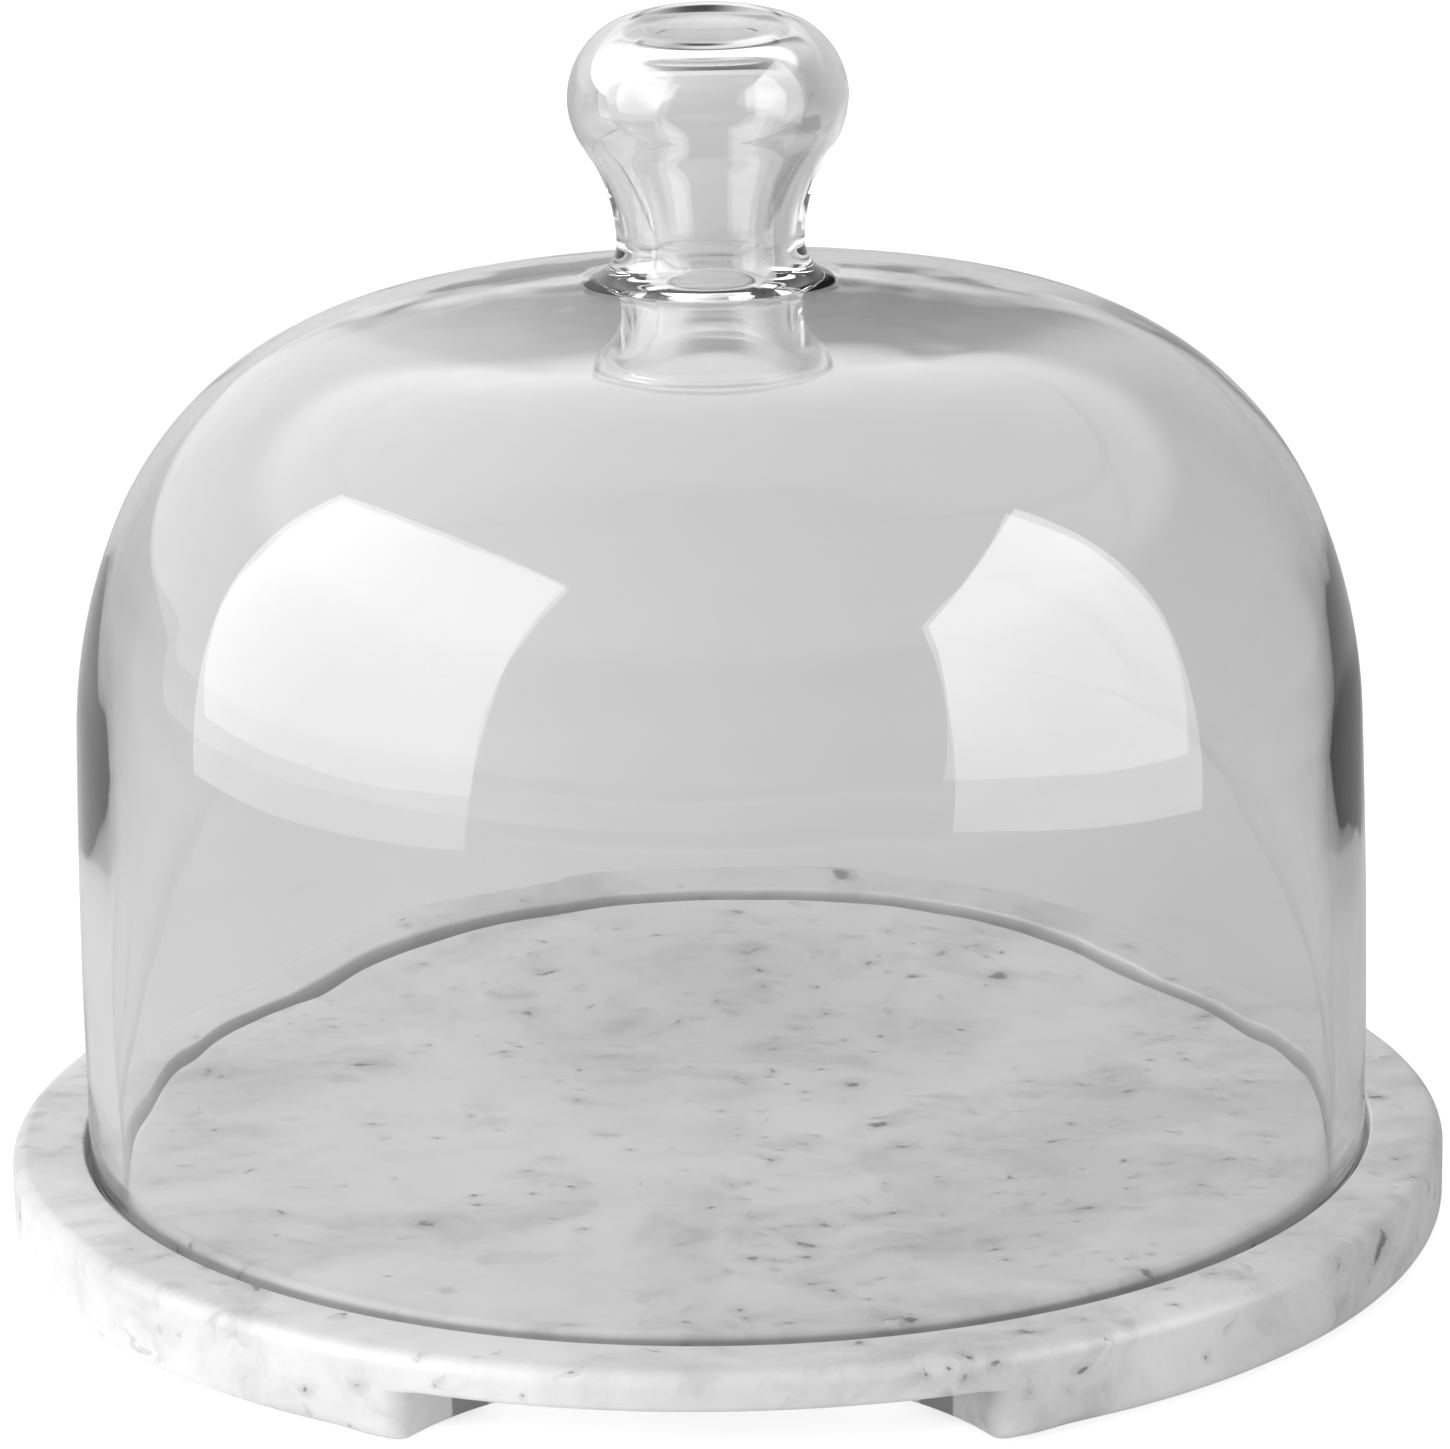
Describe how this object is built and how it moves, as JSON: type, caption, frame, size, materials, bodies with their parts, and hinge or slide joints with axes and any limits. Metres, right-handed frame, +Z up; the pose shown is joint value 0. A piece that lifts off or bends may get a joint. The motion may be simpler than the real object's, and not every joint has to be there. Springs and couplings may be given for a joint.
{
  "type": "cheese dome",
  "caption": "Round marble serving board with a ring groove that locates a clear glass bell, lifted off by its thick-walled glass knob.",
  "frame": {"origin": "on the dome's axis, in the plane that the felt pads stand on", "axes": "+Z up along the axis of the marble and the bell, towards the knob; the finger scoops face -Y (front) and +Y (back)"},
  "size_m": [0.28, 0.28, 0.2356],
  "materials": {
    "marble": "honed white marble with soft grey flecks",
    "bell_glass": "clear blown glass, fire polished",
    "knob_glass": "clear thick glass, fire polished",
    "felt": "dense wool felt"
  },
  "bodies": {
    "base": {"marble_base": "marble", "pad_front_left": "felt", "pad_front_right": "felt", "pad_back_left": "felt", "pad_back_right": "felt"},
    "dome": {"glass_bell": "bell_glass", "glass_knob": "knob_glass"}
  },
  "joints": [
    {"name": "dome_lift", "type": "slide", "parent": "base", "child": "dome", "axis": [0, 0, 1], "range_m": [0, 0.2]}
  ]
}
